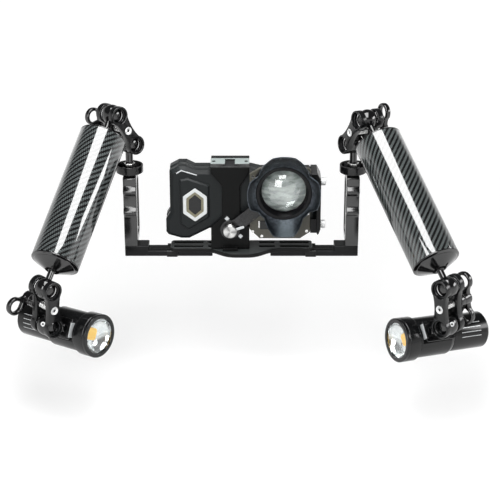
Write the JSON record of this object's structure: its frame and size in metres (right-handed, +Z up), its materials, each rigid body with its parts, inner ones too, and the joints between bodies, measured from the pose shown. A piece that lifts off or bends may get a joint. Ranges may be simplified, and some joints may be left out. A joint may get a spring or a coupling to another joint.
{
  "type": "underwater camera housing",
  "caption": "Flat underwater camera housing with a hooded wide lens on a two-handle tray, with float arms on ball clamps that each carry a video light.",
  "frame": {"origin": "centre of the flat underside of the tray's middle block", "axes": "+Z up, +X to the right seen from the front, the lens looks along -Y"},
  "size_m": [0.5899, 0.262, 0.2718],
  "materials": {
    "black_aluminium": "satin black anodised",
    "grey_aluminium": "worn grey anodised",
    "black_polymer": "moulded matt black",
    "black_rubber": "matt",
    "olive_metal": "bead-blasted olive grey",
    "steel": "turned and polished",
    "carbon": "clear-coated carbon twill",
    "chrome": "mirror reflector",
    "amber_led": "phosphor yellow",
    "glass": "coated optical glass"
  },
  "bodies": {
    "housing": {"tray_plate": "grey_aluminium", "bracket_body": "black_aluminium", "shoe_plate": "grey_aluminium", "rear_shell": "black_polymer", "main_seal": "black_rubber", "front_shell": "black_polymer", "touch_sheet": "black_rubber", "port_plate": "olive_metal", "closing_bar": "black_polymer", "left_rail": "black_aluminium", "right_rail": "black_aluminium", "left_handle": "black_aluminium", "right_handle": "black_aluminium", "left_handle_stud": "black_aluminium", "right_handle_stud": "black_aluminium"},
    "wide_lens": {"lens_barrel": "black_aluminium", "lens_front_glass": "glass", "lens_hood": "black_polymer", "lens_swing_arm": "black_aluminium"},
    "lens_lock": {"lens_lock_knob": "steel"},
    "lower_closing_screw": {"lower_thumb_screw": "steel"},
    "upper_closing_screw": {"upper_thumb_screw": "steel"},
    "left_handle_lock_disc": {"left_handle_disc": "black_aluminium"},
    "left_upper_clamp": {"left_upper_clamp_front_plate": "black_aluminium", "left_upper_clamp_back_plate": "black_aluminium", "left_upper_clamp_bolt": "steel"},
    "left_upper_wing": {"left_upper_clamp_wing_knob": "black_aluminium"},
    "left_float_arm": {"left_arm_float_tube": "carbon", "left_arm_upper_cap": "black_aluminium", "left_arm_lower_cap": "black_aluminium"},
    "left_lower_clamp": {"left_lower_clamp_front_plate": "black_aluminium", "left_lower_clamp_back_plate": "black_aluminium", "left_lower_clamp_bolt": "steel"},
    "left_lower_wing": {"left_lower_clamp_wing_knob": "black_aluminium"},
    "left_video_light": {"left_light_body": "black_aluminium", "left_light_bezel": "black_aluminium", "left_light_window": "glass", "left_light_reflector": "chrome", "left_light_led": "amber_led", "left_light_ball_mount": "black_aluminium"},
    "left_light_tail": {"left_light_tail_cap": "black_aluminium"},
    "right_handle_lock_disc": {"right_handle_disc": "black_aluminium"},
    "right_upper_clamp": {"right_upper_clamp_front_plate": "black_aluminium", "right_upper_clamp_back_plate": "black_aluminium", "right_upper_clamp_bolt": "steel"},
    "right_upper_wing": {"right_upper_clamp_wing_knob": "black_aluminium"},
    "right_float_arm": {"right_arm_float_tube": "carbon", "right_arm_upper_cap": "black_aluminium", "right_arm_lower_cap": "black_aluminium"},
    "right_lower_clamp": {"right_lower_clamp_front_plate": "black_aluminium", "right_lower_clamp_back_plate": "black_aluminium", "right_lower_clamp_bolt": "steel"},
    "right_lower_wing": {"right_lower_clamp_wing_knob": "black_aluminium"},
    "right_video_light": {"right_light_body": "black_aluminium", "right_light_bezel": "black_aluminium", "right_light_window": "glass", "right_light_reflector": "chrome", "right_light_led": "amber_led", "right_light_ball_mount": "black_aluminium"},
    "right_light_tail": {"right_light_tail_cap": "black_aluminium"}
  },
  "joints": [
    {"name": "lens_swing", "type": "hinge", "parent": "housing", "child": "wide_lens", "pos_m": [-0.0146, -0.02, 0.0412], "axis": [0, 1, 0], "range_deg": [-100, 0]},
    {"name": "lens_lock_turn", "type": "hinge", "parent": "housing", "child": "lens_lock", "pos_m": [-0.0146, -0.02, 0.0412], "axis": [0, 1, 0], "range_deg": [-83, 37]},
    {"name": "lower_closing_screw_turn", "type": "hinge", "parent": "housing", "child": "lower_closing_screw", "pos_m": [0.106, -0.004, 0.0431], "axis": [1, 0, 0], "continuous": true},
    {"name": "upper_closing_screw_turn", "type": "hinge", "parent": "housing", "child": "upper_closing_screw", "pos_m": [0.106, -0.004, 0.1023], "axis": [1, 0, 0], "continuous": true},
    {"name": "left_handle_disc_turn", "type": "hinge", "parent": "housing", "child": "left_handle_lock_disc", "pos_m": [-0.1445, 0, 0.118], "axis": [0, 0, 1], "continuous": true},
    {"name": "left_handle_ball", "type": "hinge", "parent": "housing", "child": "left_upper_clamp", "pos_m": [-0.1445, 0, 0.153], "axis": [-0.6802, 0.7301, -0.0653], "range_deg": [-40, 60]},
    {"name": "left_upper_wing_turn", "type": "hinge", "parent": "left_upper_clamp", "child": "left_upper_wing", "pos_m": [-0.17687, 0.01744, 0.17224], "axis": [-0.6802, 0.7301, -0.0653], "continuous": true},
    {"name": "left_arm_upper_ball", "type": "hinge", "parent": "left_upper_clamp", "child": "left_float_arm", "pos_m": [-0.16367, -0.01403, 0.19586], "axis": [0.6802, -0.7301, 0.0653], "range_deg": [-75, 15]},
    {"name": "left_arm_lower_ball", "type": "hinge", "parent": "left_float_arm", "child": "left_lower_clamp", "pos_m": [-0.23488, -0.19029, 0.03349], "axis": [0.7072, -0.7064, -0.0296], "range_deg": [-60, 15]},
    {"name": "left_lower_wing_turn", "type": "hinge", "parent": "left_lower_clamp", "child": "left_lower_wing", "pos_m": [-0.25877, -0.16579, 0.01], "axis": [-0.7072, 0.7064, 0.0296], "continuous": true},
    {"name": "left_light_ball", "type": "hinge", "parent": "left_lower_clamp", "child": "left_video_light", "pos_m": [-0.23527, -0.18862, -0.01548], "axis": [-0.7072, 0.7064, 0.0296], "range_deg": [-25, 45]},
    {"name": "left_light_tail_turn", "type": "hinge", "parent": "left_video_light", "child": "left_light_tail", "pos_m": [-0.21196, -0.15992, -0.03319], "axis": [0.7938, -0.6047, 0.0645], "continuous": true},
    {"name": "right_handle_disc_turn", "type": "hinge", "parent": "housing", "child": "right_handle_lock_disc", "pos_m": [0.1445, 0, 0.118], "axis": [0, 0, 1], "continuous": true},
    {"name": "right_handle_ball", "type": "hinge", "parent": "housing", "child": "right_upper_clamp", "pos_m": [0.1445, 0, 0.153], "axis": [0.8837, 0.4666, -0.0358], "range_deg": [-60, 40]},
    {"name": "right_upper_wing_turn", "type": "hinge", "parent": "right_upper_clamp", "child": "right_upper_wing", "pos_m": [0.18139, 0.00337, 0.17172], "axis": [0.8837, 0.4666, -0.0358], "continuous": true},
    {"name": "right_arm_upper_ball", "type": "hinge", "parent": "right_upper_clamp", "child": "right_float_arm", "pos_m": [0.15906, -0.02453, 0.19284], "axis": [-0.8837, -0.4666, 0.0358], "range_deg": [-30, 75]},
    {"name": "right_arm_lower_ball", "type": "hinge", "parent": "right_float_arm", "child": "right_lower_clamp", "pos_m": [0.24706, -0.20257, 0.041], "axis": [-0.7071, -0.7071, 0], "range_deg": [-35, 60]},
    {"name": "right_lower_wing_turn", "type": "hinge", "parent": "right_lower_clamp", "child": "right_lower_wing", "pos_m": [0.27186, -0.18, 0.01655], "axis": [0.7071, 0.7071, 0], "continuous": true},
    {"name": "right_light_ball", "type": "hinge", "parent": "right_lower_clamp", "child": "right_video_light", "pos_m": [0.24929, -0.20481, -0.0079], "axis": [0.7071, 0.7071, 0], "range_deg": [-60, 35]},
    {"name": "right_light_tail_turn", "type": "hinge", "parent": "right_video_light", "child": "right_light_tail", "pos_m": [0.23381, -0.17813, -0.03491], "axis": [-0.8951, -0.4385, 0.0802], "continuous": true}
  ]
}
